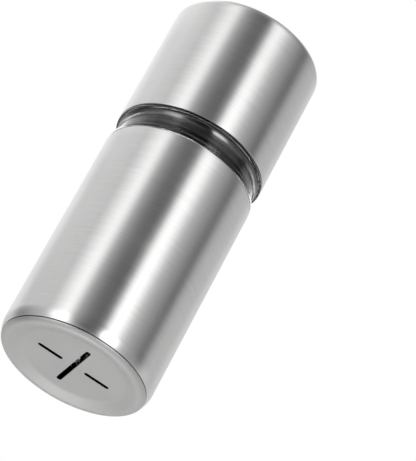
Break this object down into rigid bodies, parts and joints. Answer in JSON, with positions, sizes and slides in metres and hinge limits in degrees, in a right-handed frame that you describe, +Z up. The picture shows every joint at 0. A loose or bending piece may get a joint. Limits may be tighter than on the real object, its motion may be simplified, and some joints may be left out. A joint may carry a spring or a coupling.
{
  "type": "twist-cap nutmeg mill",
  "caption": "Twist-cap nutmeg mill: clear jar in a brushed steel sleeve, steel cap driving a square shaft, sprung plate, fixed blades and a slotted bottom.",
  "frame": {"origin": "on the mill's axis, in the plane of the stand ring that it rests on", "axes": "+Z up along the axis from the stand ring to the cap, +Y along the long slot, +X along the two side slots"},
  "size_m": [0.05, 0.05, 0.1301],
  "materials": {
    "brushed_steel": "fine brushing round the axis",
    "satin_steel": "satin",
    "clear_plastic": "clear, polished",
    "black_plastic": "fine moulded satin",
    "blade_steel": "ground",
    "fastener_steel": "bright plated",
    "white_acetal": "satin",
    "seal_silicone": "soft matte"
  },
  "bodies": {
    "base": {"body_sleeve": "brushed_steel", "bottom_cap": "satin_steel", "jar": "clear_plastic", "outlet_funnel": "black_plastic", "cutter_plate": "blade_steel", "cutter_blade_1": "blade_steel", "cutter_blade_2": "blade_steel", "cutter_blade_3": "blade_steel", "cutter_blade_4": "blade_steel", "blade_rivets": "fastener_steel", "cutter_screws": "fastener_steel", "bearing_bush": "white_acetal"},
    "rotor": {"drive_shaft": "clear_plastic", "driver_hub": "white_acetal", "thrust_washer": "fastener_steel", "pivot_screw": "fastener_steel"},
    "cap": {"cap_shell": "brushed_steel", "cap_liner": "black_plastic", "cap_seal_ring": "seal_silicone", "drive_socket": "white_acetal", "socket_screws": "fastener_steel", "pressure_spring": "fastener_steel"},
    "plate": {"pressure_plate": "white_acetal", "grip_pins": "fastener_steel"}
  },
  "joints": [
    {"name": "mill_turn", "type": "hinge", "parent": "base", "child": "rotor", "pos_m": [0, 0, 0.0083], "axis": [0, 0, 1], "continuous": true},
    {"name": "cap_lift", "type": "slide", "parent": "rotor", "child": "cap", "axis": [0, 0, 1], "range_m": [0, 0.108]},
    {"name": "plate_press", "type": "slide", "parent": "cap", "child": "plate", "axis": [0, 0, 1], "range_m": [0, 0.074], "stiffness_N_per_m": 150, "springref_m": -0.01, "deforming": ["pressure_spring"]}
  ]
}
